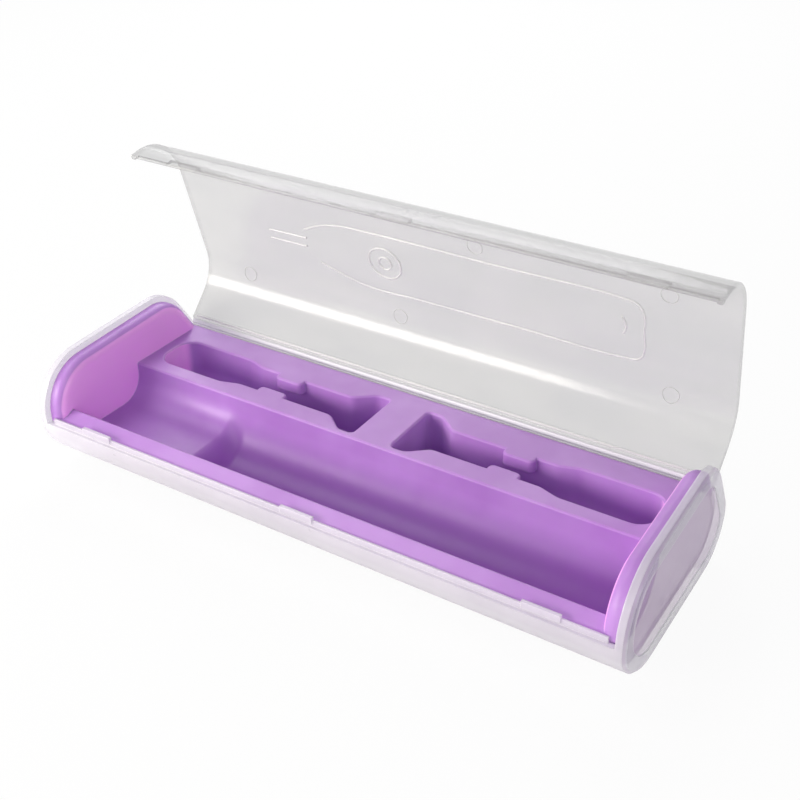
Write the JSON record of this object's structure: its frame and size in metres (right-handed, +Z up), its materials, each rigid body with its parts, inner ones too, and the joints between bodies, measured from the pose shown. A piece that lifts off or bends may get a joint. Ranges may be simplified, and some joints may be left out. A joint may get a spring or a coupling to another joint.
{
  "type": "electric toothbrush travel case",
  "caption": "Clear hinged travel case with rounded front and a purple tray that holds a toothbrush handle in a long trough and two brush heads in pockets.",
  "frame": {"origin": "middle of the flat underside of the tub, at the height of the surface it stands on", "axes": "+X along the case, +Y towards the hinge at the rear, +Z up"},
  "size_m": [0.218, 0.091, 0.1017],
  "materials": {
    "clear_shell": "milky translucent polypropylene, satin",
    "tray": "purple translucent polypropylene, satin"
  },
  "bodies": {
    "base": {"base_shell": "clear_shell", "insert_tray": "tray", "living_hinge": "clear_shell"},
    "lid": {"lid_shell": "clear_shell"}
  },
  "joints": [
    {"name": "lid_hinge", "type": "hinge", "parent": "base", "child": "lid", "pos_m": [0, 0.0363, 0.0261], "axis": [-1, 0, 0], "range_deg": [-77, 93], "deforming": ["living_hinge"]}
  ]
}
